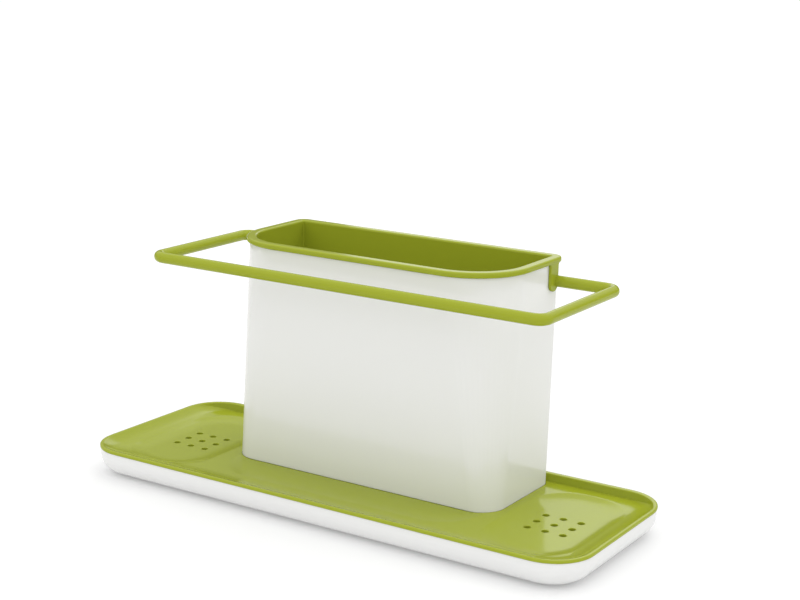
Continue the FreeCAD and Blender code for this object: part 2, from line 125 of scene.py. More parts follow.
floor_mesh = bpy.data.meshes.new("floor")
floor_corners = [(x * FLOOR_HALF, y * FLOOR_HALF, 0) for x, y in ((-1, -1), (1, -1), (1, 1), (-1, 1))]
floor_mesh.from_pydata(floor_corners, [], [(0, 1, 2, 3)])
floor = link(bpy.data.objects.new("floor", floor_mesh))
floor_paint, _, floor_shader = node_material("studio_white")
floor_shader.inputs["Base Color"].default_value = (0.75, 0.75, 0.75, 1)
floor_shader.inputs["Emission Color"].default_value = (1, 1, 1, 1)
floor_shader.inputs["Emission Strength"].default_value = FLOOR_GLOW
floor_shader.inputs["Roughness"].default_value = 0.9
floor_shader.inputs["Specular IOR Level"].default_value = 0.1
floor_mesh.materials.append(floor_paint)
floor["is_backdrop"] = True
print("floor:", 2 * FLOOR_HALF, "m square")

# %% Make the sky
SKY_ABOVE = 1.3
SKY_FRONT = 0.86
SKY_BEHIND = 0.12
SKY_RISE = (0.12, 0.62)
SKY_TURN = (-0.3, 0.7)
BEHIND = (-0.5, 0.87, 0.0)
BACKDROP = 1.0

world = bpy.data.worlds.new("studio")
bpy.context.scene.world = world
world.use_nodes = True
sky, sky_links = world.node_tree.nodes, world.node_tree.links
place = sky.new("ShaderNodeTexCoord")


def sky_step(direction, low, high, at_low, at_high):
    """A strength that changes smoothly while a ray turns towards a direction."""
    along = sky.new("ShaderNodeVectorMath")
    along.operation = "DOT_PRODUCT"
    along.inputs[1].default_value = direction
    step = sky.new("ShaderNodeMapRange")
    step.interpolation_type = "SMOOTHSTEP"
    for name, value in zip(("From Min", "From Max", "To Min", "To Max"), (low, high, at_low, at_high)):
        step.inputs[name].default_value = value
    sky_links.new(place.outputs["Generated"], along.inputs[0])
    sky_links.new(along.outputs["Value"], step.inputs["Value"])
    return step


seen = sky.new("ShaderNodeLightPath")
choose = sky.new("ShaderNodeMix")
choose.inputs["B"].default_value = BACKDROP
horizon = sky_step(BEHIND, *SKY_TURN, SKY_FRONT, SKY_BEHIND)
rise = sky_step((0.0, 0.0, 1.0), *SKY_RISE, SKY_FRONT, SKY_ABOVE)
sky_links.new(horizon.outputs["Result"], rise.inputs["To Min"])
sky_links.new(seen.outputs["Is Camera Ray"], choose.inputs["Factor"])
sky_links.new(rise.outputs["Result"], choose.inputs["A"])
sky_links.new(choose.outputs["Result"], sky["Background"].inputs["Strength"])
sky["Background"].inputs["Color"].default_value = (1, 1, 1, 1)
print("sky strengths above, in front, behind:", SKY_ABOVE, SKY_FRONT, SKY_BEHIND)

# %% Hang the lamps
LAMP_TARGET = Vector((0, 0, 0.05))


def soft_lamp(name, place, size, watts):
    """A square soft lamp that points at the caddy."""
    data = bpy.data.lights.new(name, "AREA")
    data.shape = "SQUARE"
    data.size = size
    data.energy = watts
    lamp = link(bpy.data.objects.new(name, data))
    lamp.location = place
    lamp.rotation_euler = (LAMP_TARGET - Vector(place)).to_track_quat("-Z", "Y").to_euler()


soft_lamp("lamp_above", (0.25, 0.45, 1.25), 0.9, 1.8)
soft_lamp("lamp_left", (-1.1, -0.9, 0.8), 0.8, 0.3)
soft_lamp("lamp_behind", (-0.48, 1.05, 0.52), 0.45, 0.7)
bpy.context.scene.view_settings.view_transform = "Standard"

# %% [markdown]
# ## Shapes from outlines
# Every moulded piece here is a rounded rectangle seen from above, and a short profile seen in section. So
# one way makes them all: work the outline out for every step of the profile, stack the outlines as rings,
# and join each ring to the next. A modeller could also bevel a box, but then the corner radii, which on
# the container grow from foot to mouth, would have to be matched by hand.

# %% An outline as an array
CORNER_STEPS = 14
CORNER_X = np.array([1, 1, -1, -1])
CORNER_IS_BACK = np.array([False, True, True, False])
CORNER_START = np.radians([-90, 0, 90, 180])


def outlines(half_length, front, back, front_radius, back_radius):
    """Rounded rectangles, one for each value of the arguments, counterclockwise from the front right corner.

    Each corner is a quarter circle: its centre plus radius times (cos, sin) of CORNER_STEPS angles. All
    outlines have the same number of points, so that they can be joined one to one."""
    values = np.broadcast_arrays(*map(np.atleast_1d, (half_length, front, back, front_radius, back_radius)))
    half_length, front, back, front_radius, back_radius = (v[:, None] for v in values)
    radius = np.where(CORNER_IS_BACK, back_radius, front_radius)
    centre_x = CORNER_X * (half_length - radius)
    centre_y = np.where(CORNER_IS_BACK, back - radius, front + radius)
    angle = CORNER_START[:, None] + np.linspace(0, np.pi / 2, CORNER_STEPS)
    x = centre_x[..., None] + radius[..., None] * np.cos(angle)
    y = centre_y[..., None] + radius[..., None] * np.sin(angle)
    return np.stack([x, y], -1).reshape(len(radius), -1, 2)


def at_heights(rings, heights):
    """Lift flat rings to their heights: (rings, points, 2) becomes (rings, points, 3)."""
    z = np.broadcast_to(np.asarray(heights, float)[:, None, None], (*rings.shape[:2], 1))
    return np.concatenate([rings, z], -1)


def circle(x, y, radius, points=24):
    """Points round a circle, counterclockwise: centre plus radius times (cos, sin)."""
    angle = np.linspace(0, 2 * np.pi, points, endpoint=False)
    return np.stack([x + radius * np.cos(angle), y + radius * np.sin(angle)], -1)


# %% A profile with rounded corners


def rounded(corners, radii, steps=6):
    """A section drawn as straight runs joined by tangent arcs.

    At each inner corner the arc's centre lies on the bisector, radius / sin(half the angle) away, and the
    arc turns from one tangent point to the other as a mix of the two spokes by sines."""
    corners = np.asarray(corners, float)
    section = [corners[:1]]
    for before, corner, after, radius in zip(corners, corners[1:], corners[2:], radii):
        one = (before - corner) / np.linalg.norm(before - corner)
        two = (after - corner) / np.linalg.norm(after - corner)
        half = np.arccos(np.clip(one @ two, -1, 1)) / 2
        middle = corner + (one + two) / np.linalg.norm(one + two) * radius / np.sin(half)
        spoke_one = corner + one * radius / np.tan(half) - middle
        spoke_two = corner + two * radius / np.tan(half) - middle
        turn = np.pi - 2 * half
        share = np.linspace(0, 1, steps + 1)[:, None]
        mix = np.sin((1 - share) * turn) * spoke_one + np.sin(share * turn) * spoke_two
        section.append(middle + mix / np.sin(turn))
    section.append(corners[-1:])
    return np.concatenate(section)


# %% Joining rings and filling flats


def band(rings, closed=False):
    """Four-sided faces between neighbouring rings, and from the last to the first if closed.

    Rings run counterclockwise, so a band that goes up faces out, and one that goes in faces up."""
    number = np.arange(rings.shape[0] * rings.shape[1]).reshape(rings.shape[:2])
    if closed:
        number = np.concatenate([number, number[:1]])
    here, there = number[:-1], number[1:]
    faces = np.stack([here, np.roll(here, -1, 1), np.roll(there, -1, 1), there], -1)
    return rings.reshape(-1, 3), faces.reshape(-1, 4)


def flat(outer, holes, height, faces_up=True, within=()):
    """The face inside one outline and outside the others, as triangles. 'height' is a number or a function.

    Blender's constrained Delaunay triangulation joins the outlines' own points and those 'within', and the
    triangles that lie in a hole are told by belonging to two of the outlines."""
    loops = [outer, *holes]
    ends = np.cumsum([len(loop) for loop in loops])
    numbers = [np.arange(end - len(loop), end) for loop, end in zip(loops, ends)]
    edges = np.concatenate([np.stack([n, np.roll(n, -1)], -1) for n in numbers])
    points = np.concatenate([*loops, np.reshape(within, (-1, 2))])
    found = delaunay_2d_cdt(points.tolist(), edges.tolist(), [n.tolist() for n in numbers], 1, 1e-9)
    plan = np.array([tuple(p) for p in found[0]])
    kept = np.array([t for t, owner in zip(found[2], found[5]) if list(owner) == [0]])
    used, kept = np.unique(kept, return_inverse=True)
    kept = kept.reshape(-1, 3)
    plan = plan[used]
    level = height(plan) if callable(height) else np.full(len(plan), height)
    return np.column_stack([plan, level]), kept if faces_up else kept[:, ::-1]


def tunnel(loop, top, bottom, lead=0.0):
    """The wall of a hole through a plate, its upper edge eased by a quarter round of radius 'lead'."""
    centre = loop.mean(0)
    radius = np.linalg.norm(loop[0] - centre)
    turn = np.linspace(0, np.pi / 2, 4)
    reach = np.append(radius + lead * (1 - np.sin(turn)), radius)
    height = np.append(top - lead * (1 - np.cos(turn)), bottom)
    rings = centre + (loop - centre) * (reach / radius)[:, None, None]
    return band(at_heights(rings, height))


# %% Making one welded mesh
WELD = 0.5e-6
SHARP_ANGLE = math.radians(40)


def make_piece(name, parts, material, body, slot, *nodes):
    """Weld bands and flats into one closed mesh, and let it stand for its nodes of the frame."""
    mesh = bpy.data.meshes.new(name)
    points, faces = np.empty((0, 3)), []
    for part_points, part_faces in parts:
        faces += (part_faces + len(points)).tolist()
        points = np.concatenate([points, part_points])
    mesh.from_pydata(points, [], faces)
    welded = bmesh.new()
    welded.from_mesh(mesh)
    bmesh.ops.remove_doubles(welded, verts=welded.verts, dist=WELD)
    bmesh.ops.dissolve_degenerate(welded, edges=welded.edges, dist=WELD)
    bmesh.ops.recalc_face_normals(welded, faces=welded.faces)
    open_edges = sum(edge.is_boundary for edge in welded.edges)
    volume = welded.calc_volume(signed=True)
    welded.to_mesh(mesh)
    welded.free()
    mesh.shade_smooth()
    mesh.set_sharp_from_angle(angle=SHARP_ANGLE)
    mesh.materials.append(material)
    piece = link(bpy.data.objects.new(name, mesh))
    even = piece.modifiers.new("even_shading", "WEIGHTED_NORMAL")
    even.keep_sharp = True
    even.weight = 100
    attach(piece, body)
    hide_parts(*nodes)
    print(f"{name}: {len(mesh.polygons)} faces, {open_edges} open edges, {volume * 1e6:.1f} cubic cm")


# %% [markdown]
# ## Moulded plastic
# Both colours are glossy injection-moulded plastic. Up close such a skin isn't a mirror: it has a faint
# orange peel, its gloss drifts a little from place to place, and the colour thins where the melt flowed.
# A painted image could hold that, but noise in the object's own space needs no unwrapping and stays the
# same size on every piece. The three effects are in two node groups, so each plastic, and the rubber of
# the feet, sets only its own amounts.

# %% A helper for node groups


def new_group(name, inputs, outputs):
    """An empty shader node group whose sockets are given as name: (kind, value)."""
    group = bpy.data.node_groups.new(name, "ShaderNodeTree")
    for side, sockets in (("INPUT", inputs), ("OUTPUT", outputs)):
        for socket, (kind, value) in sockets.items():
            made = group.interface.new_socket(socket, in_out=side, socket_type=kind)
            if value is not None:
                made.default_value = value
    return group, group.nodes.new("NodeGroupInput"), group.nodes.new("NodeGroupOutput")


def noise(tree, coordinates, scale, detail, link_scale=None):
    """A Noise Texture's factor. A socket given as 'link_scale' sets the scale instead of the number."""
    texture = tree.nodes.new("ShaderNodeTexNoise")
    texture.inputs["Scale"].default_value = scale
    texture.inputs["Detail"].default_value = detail
    tree.links.new(coordinates, texture.inputs["Vector"])
    if link_scale is not None:
        tree.links.new(link_scale, texture.inputs["Scale"])
    return texture.outputs["Fac"]


def arithmetic(tree, operation, first, second):
    """A Math node. Each side is a socket or a number."""
    node = tree.nodes.new("ShaderNodeMath")
    node.operation = operation
    for socket, value in zip(node.inputs, (first, second)):
        if isinstance(value, bpy.types.NodeSocket):
            tree.links.new(value, socket)
        else:
            socket.default_value = value
    return node.outputs[0]


FLOAT, COLOUR = "NodeSocketFloat", "NodeSocketColor"

# %% Orange peel and drifting gloss
WAVE_SCALE = 28.0
WAVE_SHARE = 6.0
DRIFT_SCALE = 45.0
skin_group, skin_in, skin_out = new_group(
    "moulded_skin",
    {"Peel Scale": (FLOAT, 900.0), "Gloss": (FLOAT, 0.2), "Gloss Drift": (FLOAT, 0.05)},
    {"Height": (FLOAT, None), "Roughness": (FLOAT, None)},
)
skin_place = skin_group.nodes.new("ShaderNodeTexCoord").outputs["Object"]
peel = noise(skin_group, skin_place, 1.0, 1.0, skin_in.outputs["Peel Scale"])
waves = noise(skin_group, skin_place, WAVE_SCALE, 1.0)
skin_height = arithmetic(skin_group, "MULTIPLY_ADD", waves, WAVE_SHARE)
skin_group.links.new(peel, skin_height.node.inputs[2])
drift = arithmetic(skin_group, "SUBTRACT", noise(skin_group, skin_place, DRIFT_SCALE, 3.0), 0.5)
drift = arithmetic(skin_group, "MULTIPLY", drift, skin_in.outputs["Gloss Drift"])
roughness = arithmetic(skin_group, "ADD", drift, skin_in.outputs["Gloss"])
skin_group.links.new(skin_height, skin_out.inputs["Height"])
skin_group.links.new(roughness, skin_out.inputs["Roughness"])
print("moulded_skin:", len(skin_group.nodes), "nodes")

# %% Colour that drifts with the flow
FLOW_SCALE = 22.0
FLOW_STRETCH = (0.35, 1.0, 1.0)
FLOW_AMOUNT = 0.5
flow_group, flow_in, flow_out = new_group(
    "melt_flow",
    {"Colour": (COLOUR, None), "Thin Colour": (COLOUR, None), "Amount": (FLOAT, 0.2)},
    {"Colour": (COLOUR, None)},
)
flow_place = flow_group.nodes.new("ShaderNodeTexCoord").outputs["Object"]
stretch = flow_group.nodes.new("ShaderNodeMapping")
stretch.inputs["Scale"].default_value = FLOW_STRETCH
flow_group.links.new(flow_place, stretch.inputs["Vector"])
flow = noise(flow_group, stretch.outputs["Vector"], FLOW_SCALE, 2.0)
share = arithmetic(flow_group, "MULTIPLY", flow, flow_in.outputs["Amount"])
flow_mix = flow_group.nodes.new("ShaderNodeMix")
flow_mix.data_type = "RGBA"
flow_group.links.new(share, flow_mix.inputs["Factor"])
flow_group.links.new(flow_in.outputs["Colour"], flow_mix.inputs["A"])
flow_group.links.new(flow_in.outputs["Thin Colour"], flow_mix.inputs["B"])
flow_group.links.new(flow_mix.outputs["Result"], flow_out.inputs["Colour"])
print("melt_flow:", len(flow_group.nodes), "nodes")

# %% The plastics and the rubber


def place_group(tree, group, **values):
    """Place a node group in a material, with a value for each input named."""
    node = tree.nodes.new("ShaderNodeGroup")
    node.node_tree = group
    for socket, value in values.items():
        node.inputs[socket.replace("_", " ")].default_value = value
    return node


def moulded(name, colour, thin, gloss, drift, peel_scale, peel_depth, specular):
    """One moulded finish: base colour, its thin tint, gloss and its drift, and the grain of the skin."""
    material, tree, shader = node_material(name)
    skin = place_group(tree, skin_group, Peel_Scale=peel_scale, Gloss=gloss, Gloss_Drift=drift)
    flow = place_group(tree, flow_group, Colour=(*colour, 1), Thin_Colour=(*thin, 1), Amount=FLOW_AMOUNT)
    bump = tree.nodes.new("ShaderNodeBump")
    bump.inputs["Strength"].default_value = 1.0
    bump.inputs["Distance"].default_value = peel_depth
    tree.links.new(skin.outputs["Height"], bump.inputs["Height"])
    tree.links.new(bump.outputs["Normal"], shader.inputs["Normal"])
    tree.links.new(skin.outputs["Roughness"], shader.inputs["Roughness"])
    tree.links.new(flow.outputs["Colour"], shader.inputs["Base Color"])
    shader.inputs["Specular IOR Level"].default_value = specular
    return material


white_plastic = moulded(
    "white_plastic", (0.775, 0.775, 0.765), (0.815, 0.815, 0.805), gloss=0.13, drift=0.05,
    peel_scale=900.0, peel_depth=1.5e-6, specular=0.5,
)
green_plastic = moulded(
    "green_plastic", (0.308, 0.353, 0.021), (0.340, 0.388, 0.028), gloss=0.14, drift=0.05,
    peel_scale=1100.0, peel_depth=2e-6, specular=0.17,
)
foot_rubber = moulded(
    "foot_rubber", (0.30, 0.30, 0.30), (0.34, 0.34, 0.34), gloss=0.7, drift=0.1,
    peel_scale=1800.0, peel_depth=1e-5, specular=0.3,
)
print("finishes:", [finish.name for finish in (white_plastic, green_plastic, foot_rubber)])

# %% [markdown]
# ## Base tray
# The white tray at the bottom is a shallow open tub that catches the water. Its section is one line that
# runs out under the floor, round the soft bottom edge, up the wall, over the brim and down to the floor
# inside. It could be a solidified sheet, but drawing both sides gives the brim and the inner cove
# their own radii.

# %% Sizes of the tray
base_low, base_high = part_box("base_tray")
TRAY_CORNER = 25 * MM
BASE_INSET = 0.5 * MM
BASE_WALL = 2.2 * MM
BASE_FLOOR = base_low.z + 2 * MM
BASE_ROUND = 12 * MM
BASE_COVE = 9 * MM
BASE_FLAT = 14 * MM
BRIM_ROUND = 0.5 * MM
base_section = rounded(
    [(BASE_FLAT, base_low.z), (0, base_low.z), (0, base_high.z), (BASE_WALL, base_high.z),
     (BASE_WALL, BASE_FLOOR), (BASE_FLAT, BASE_FLOOR)],
    [BASE_ROUND, BRIM_ROUND, BRIM_ROUND, BASE_COVE],
    steps=12,
)


def tray_rings(inset, corner):
    """Outlines of the tray moved in by 'inset'."""
    half, front, back = base_high.x, base_low.y, base_high.y
    return outlines(half - inset, front + inset, back - inset, corner - inset, corner - inset)


print("points in the tray's section:", len(base_section))

# %% [markdown]
# ## Feet
# Four rubber discs are pressed into recesses under the tray, because bare plastic would slide on a wet
# worktop. A bevelled cylinder would come close. Here a short profile is turned round each foot's centre,
# which also gives the slight hollow underneath. The tray is built after them, with its recesses at their
# centres.

# %% Turn the feet
FOOT_RADIUS = 6 * MM
FOOT_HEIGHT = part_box("foot_front_left")[1].z
HOLLOW_RADIUS = 2.4 * MM
HOLLOW_MOUTH = 3.2 * MM
HOLLOW_DEPTH = 0.25 * MM
FOOT_TOP = 4 * MM
FOOT_EDGE = 0.6 * MM
FOOT_EASE = 0.3 * MM
FOOT_NAMES = [f"foot_{end}_{side}" for side in ("left", "right") for end in ("front", "back")]
foot_centres = {name: sum(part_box(name), Vector()) / 2 for name in FOOT_NAMES}
foot_section = rounded(
    [(HOLLOW_RADIUS, HOLLOW_DEPTH), (HOLLOW_MOUTH, 0), (FOOT_RADIUS, 0), (FOOT_RADIUS, FOOT_HEIGHT),
     (FOOT_TOP, FOOT_HEIGHT)],
    [FOOT_EASE, FOOT_EDGE, FOOT_EASE],
)
for name, centre in foot_centres.items():
    rings = np.stack([circle(centre.x, centre.y, radius, 48) for radius in foot_section[:, 0]])
    foot_parts = [
        band(at_heights(rings, foot_section[:, 1])),
        flat(rings[0], [], foot_section[0, 1], faces_up=False),
        flat(rings[-1], [], foot_section[-1, 1]),
    ]
    make_piece(name, foot_parts, foot_rubber, "base", "foot_rubber", name)

# %% Build the tray
RECESS_RADIUS = 6.1 * MM
RECESS_DEPTH = 0.8 * MM
inset, height = base_section.T
base_rings = tray_rings(inset, TRAY_CORNER - BASE_INSET)
recesses = [circle(c.x, c.y, RECESS_RADIUS, 48) for c in foot_centres.values()]
ceiling = base_low.z + RECESS_DEPTH
base_parts = [
    band(at_heights(base_rings, height)),
    flat(base_rings[-1], [], BASE_FLOOR),
    flat(base_rings[0], recesses, base_low.z, faces_up=False),
]
base_parts += [flat(loop, [], ceiling, faces_up=False) for loop in recesses]
base_parts += [band(at_heights(np.stack([loop, loop]), [ceiling, base_low.z])) for loop in recesses]
make_piece("base_tray_dressed", base_parts, white_plastic, "base", "white_plastic", "base_tray")

# %% [markdown]
# ## Drainer
# The green tray lies in the white one and hangs by its lip. Inside the lip its floor falls in a gentle
# bowl to a flat, dips into a shallow well at each end and a fainter one in front of the container, and is
# recessed under the container so that this can't slide. The back wall is steep, because the container
# stands close to it. One section can't draw both, so there are two sections with the same number of
# points, and the rings mix them round the back corners.

# %% Sizes of the drainer
drain_low, drain_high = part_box("drainer_tray")
LIP_UNDER = base_high.z
LIP_TOP = drain_high.z
PAN_FLOOR = 13.7 * MM
PAN_UNDER = 11.7 * MM
HANG = 3.3 * MM
LIP_ROUND = 0.8 * MM
FLOOR_RING = 13 * MM
FLOOR_RING_BACK = 4.75 * MM
LIP_CREST = 2 * MM
LIP_CREST_BACK = 3.6 * MM
CREST_ROUND = 2.4 * MM
SLOPE_TOP = 3 * MM
SLOPE_FOOT_BACK = 4.6 * MM
SLOPE_ROUND_BACK = 0.1 * MM
UNDER_EDGE = 9.8 * MM
UNDER_EDGE_BACK = 3.7 * MM
UNDER_ROUND = 0.4 * MM
HANG_ROUND = 0.3 * MM
BOWL_RADIUS = 35 * MM
BOWL_REACH = 19.35 * MM


def bowl_rise(inset):
    """How far the inner slope stands above the floor: an arc that is level where its reach ends.

    It is the radius, less the root of the radius squared less the square of the way left to that end."""
    return BOWL_RADIUS - np.sqrt(BOWL_RADIUS**2 - np.maximum(BOWL_REACH - inset, 0) ** 2)


slope_inset = np.linspace(SLOPE_TOP, FLOOR_RING, 8)
slope = np.stack([slope_inset, PAN_FLOOR + bowl_rise(slope_inset)], -1)
side_section = rounded(
    [(UNDER_EDGE, PAN_UNDER), (HANG, LIP_UNDER), (0, LIP_UNDER), (0, LIP_TOP), (LIP_CREST, LIP_TOP),
     slope[0]],
    [UNDER_ROUND, HANG_ROUND, LIP_ROUND, CREST_ROUND],
)
side_section = np.concatenate([side_section, slope[1:]])
back_section = rounded(
    [(UNDER_EDGE_BACK, PAN_UNDER), (HANG, LIP_UNDER), (0, LIP_UNDER), (0, LIP_TOP),
     (LIP_CREST_BACK, LIP_TOP), (SLOPE_FOOT_BACK, PAN_FLOOR), (FLOOR_RING_BACK, PAN_FLOOR)],
    [UNDER_ROUND, HANG_ROUND, LIP_ROUND, LIP_ROUND, SLOPE_ROUND_BACK],
)
print("points in the drainer's two sections:", len(side_section), len(back_section))

# %% Mix the two sections


def drainer_rings(section):
    """Outlines of the drainer moved in and lifted as a section says."""
    inset, height = section.T
    corner = TRAY_CORNER - inset
    half, depth = drain_high.x - inset, drain_high.y - inset
    return at_heights(outlines(half, -depth, depth, corner, corner), height)


turn = np.linspace(0, np.pi / 2, CORNER_STEPS)
front_share = np.zeros(CORNER_STEPS)
back_share = np.concatenate([front_share, np.sin(turn) ** 2, np.cos(turn) ** 2, front_share])[:, None]
lip_rings = drainer_rings(side_section) * (1 - back_share) + drainer_rings(back_section) * back_share
print("rings, points round each:", lip_rings.shape[:2])

# %% How deep the dishes are
# A plan is (half its length, front, back, corner radius).
WELL_CENTRE = 125 * MM
WELL = (29 * MM, -50.5 * MM, 50.5 * MM, 26 * MM)
WELL_SLOPE = 12 * MM
WELL_DEPTH = 1.5 * MM
APRON = (86 * MM, -39.5 * MM, 21.5 * MM, 26 * MM)
APRON_SLOPE = 10 * MM
APRON_DEPTH = 0.5 * MM
DISH_EASE = 0.5 * MM


def way_in(points, half_length, front, back, corner, centre_x=0.0):
    """How far plan points lie inside a rounded rectangle, negative outside it.

    Beyond the corner centres the distance is radial, and elsewhere it is to the nearest side."""
    middle = np.array([centre_x, (front + back) / 2])
    half = np.array([half_length, (back - front) / 2])
    beyond = np.abs(points - middle) - (half - corner)
    return corner - np.linalg.norm(np.maximum(beyond, 0), axis=-1) - np.minimum(beyond.max(-1), 0)


def dish_depth(way, slope, depth):
    """A parabola that is steep at the dish's edge and level where the slope ends, its edge slightly eased."""
    eased = np.sqrt(np.maximum(way, 0) ** 2 + DISH_EASE**2) - DISH_EASE
    return depth * (1 - (1 - np.clip(eased / slope, 0, 1)) ** 2)


def pan_height(plan):
    """The drainer's floor: its flat's height, less the deepest of the three dishes, plus the bowl's rise.

    The bowl rises at the front and the ends. Round the back corners it fades out as a smooth step, three
    times the way's square less twice its cube."""
    wells = [dish_depth(way_in(plan, *WELL, side * WELL_CENTRE), WELL_SLOPE, WELL_DEPTH) for side in (-1, 1)]
    dishes = np.max([*wells, dish_depth(way_in(plan, *APRON), APRON_SLOPE, APRON_DEPTH)], 0)
    inset = way_in(plan, drain_high.x, drain_low.y, drain_high.y + TRAY_CORNER, TRAY_CORNER)
    turn = np.clip((plan[..., 1] - drain_high.y) / TRAY_CORNER + 1, 0, 1)
    return PAN_FLOOR - dishes + bowl_rise(inset) * (1 - turn**2 * (3 - 2 * turn))


lip_rings[-1, :, 2] = pan_height(lip_rings[-1, :, :2])
print("the floor's edge rises, in mm:", round(np.ptp(lip_rings[-1, :, 2]) / MM, 2))

# %% Points that carry the floor's shape
FLOOR_STEP = 1.8 * MM
FLOOR_CLEAR = 0.9 * MM
CREASE_WIDTH = 0.9 * MM
CREASE_CLEAR = 1.2 * MM


def spaced(loop, spacing):
    """Points at even steps round a closed outline."""
    closed = np.concatenate([loop, loop[:1]])
    run = np.append(0, np.cumsum(np.linalg.norm(np.diff(closed, axis=0), axis=1)))
    at = np.linspace(0, run[-1], int(run[-1] / spacing), endpoint=False)
    return np.stack([np.interp(at, run, closed[:, axis]) for axis in (0, 1)], -1)


def plan_outline(plan, inset, centre_x):
    """The outline of a plan moved in by 'inset'."""
    half, front, back, corner = plan
    corner = corner - inset
    return outlines(half - inset, front + inset, back - inset, corner, corner)[0] + np.array([centre_x, 0])


floor_back = drain_high.y - FLOOR_RING_BACK
floor_plan = (drain_high.x - FLOOR_RING, FLOOR_RING - drain_high.y, floor_back, TRAY_CORNER - FLOOR_RING)
across = np.arange(-floor_plan[0], floor_plan[0], FLOOR_STEP)
along = np.arange(floor_plan[1], floor_plan[2], FLOOR_STEP)
lattice = np.stack(np.meshgrid(across, along), -1).reshape(-1, 2)
dish_plans = [(WELL, -WELL_CENTRE), (WELL, WELL_CENTRE), (APRON, 0.0)]
both_sides = [(plan, inset, x) for plan, x in dish_plans for inset in (0, CREASE_WIDTH)]
creases = [spaced(plan_outline(*side), FLOOR_STEP) for side in both_sides]
for plan, x in dish_plans:
    lattice = lattice[np.abs(way_in(lattice, *plan, x) - CREASE_WIDTH / 2) > CREASE_CLEAR]
floor_points = np.concatenate([lattice, *creases])
floor_points = floor_points[way_in(floor_points, *floor_plan) > FLOOR_CLEAR]
print("points in the drainer's floor:", len(floor_points))

# %% Wells and their drain holes
WELL_WALL = 2 * MM
DRAIN_RADIUS = 2 * MM
DRAIN_PITCH = 11 * MM
HOLE_EASE = 0.4 * MM


def well_under(side):
    """The underside of a well: rings that move in from its outline and sink along the same parabola."""
    way = np.linspace(0, 1, 12)
    half, front, back, corner = WELL
    move = WELL_SLOPE * way - WELL_WALL
    rings = outlines(half - move, front + move, back - move, corner - move, corner - move)
    sunk = WELL_DEPTH * (1 - (1 - way) ** 2)
    return at_heights(rings + np.array([side * WELL_CENTRE, 0]), PAN_UNDER - sunk)


drainer_parts = [band(lip_rings)]
floor_holes, under_holes = [], []
drain_steps = (np.arange(3) - 1) * DRAIN_PITCH
well_floor, well_base = PAN_FLOOR - WELL_DEPTH, PAN_UNDER - WELL_DEPTH
for side in (-1, 1):
    under = well_under(side)
    drains = [(side * WELL_CENTRE + x, y) for x in drain_steps for y in drain_steps]
    narrow = [circle(x, y, DRAIN_RADIUS) for x, y in drains]
    floor_holes += [circle(x, y, DRAIN_RADIUS + HOLE_EASE) for x, y in drains]
    under_holes.append(under[0, :, :2])
    drainer_parts += [band(under), flat(under[-1, :, :2], narrow, well_base, faces_up=False)]
    drainer_parts += [tunnel(loop, well_floor, well_base, HOLE_EASE) for loop in narrow]
    for x, y in drains:
        centre_far = np.linalg.norm(floor_points - [x, y], axis=1)
        floor_points = floor_points[centre_far > DRAIN_RADIUS + HOLE_EASE + FLOOR_CLEAR / 2]
print("drain holes:", len(floor_holes))

# %% [markdown]
# ## Container
# The white box leans out so that it leaves its mould, most at the front and the back, and its broad
# front corners grow from foot to mouth while the back corners stay tight. A box that is scaled along its
# height would make the back corners grow as well. So its outline is a straight mix of a foot outline and
# a mouth outline, by height, and both faces of its wall use that mix.

# %% Sizes of the container
# Both outlines are (half the length, front, back, front corners' radius, back corners' radius).
box_low, box_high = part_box("container")
BOX_MOUTH = np.array([box_high.x, box_low.y, box_high.y, 34.8 * MM, 5 * MM])
BOX_FOOT = np.array([91.45 * MM, -11.7 * MM, 56.8 * MM, 15 * MM, 5 * MM])
MOVE_IN = np.array([-1, 1, -1, -1, -1])
BOX_WALL = 2 * MM
BOX_FLOOR = box_low.z + 2.4 * MM
WEEP_RADIUS = 2.5 * MM
WEEP_PITCH = 26 * MM
WEEP_Y = (BOX_FOOT[1] + BOX_FOOT[2]) / 2
BOX_FOOT_ROUND = 0.8 * MM
BOX_FOOT_FLAT = 2.4 * MM
BOX_MOUTH_ROUND = 0.6 * MM
BOX_COVE = 2.5 * MM
BOX_COVE_END = 4.6 * MM


def box_rings(inset, height):
    """Outlines of the container at some heights, moved in.

    Each is the foot's plus the mouth's difference from it, times the share of the height."""
    share = (np.asarray(height) - box_low.z) / (box_high.z - box_low.z)
    mixed = BOX_FOOT + (BOX_MOUTH - BOX_FOOT) * share[:, None] + MOVE_IN * np.asarray(inset)[:, None]
    return at_heights(outlines(*mixed.T), height)


print("the container leans out by, in mm:", ((BOX_MOUTH - BOX_FOOT)[:3] / MM).round(2))

# %% Finish the drainer's floor under the container
SEAT_GAP = 0.25 * MM
SEAT_FLOOR = box_low.z
SEAT_EASE = 0.3 * MM
SEAT_FLAT = 2 * MM
seat_section = rounded(
    [(-SEAT_FLAT / 2, PAN_FLOOR), (0, PAN_FLOOR), (0, SEAT_FLOOR), (SEAT_FLAT, SEAT_FLOOR)],
    [SEAT_EASE, SEAT_EASE],
)[1:]
seat_plan = outlines(*(BOX_FOOT + MOVE_IN * (seat_section[:, :1] - SEAT_GAP)).T)
seat_share = ((seat_section[:, 1] - SEAT_FLOOR) / (PAN_FLOOR - SEAT_FLOOR))[:, None]
seat_height = SEAT_FLOOR + seat_share * (pan_height(seat_plan[0]) - SEAT_FLOOR)
seat_rings = np.concatenate([seat_plan, seat_height[..., None]], -1)
under_seat = [circle(x * WEEP_PITCH, WEEP_Y, WEEP_RADIUS) for x in (-2, 0, 2)]
floor_points = floor_points[way_in(floor_points, *BOX_FOOT[:4]) < -SEAT_GAP - FLOOR_CLEAR]
floor_holes.append(seat_plan[0])
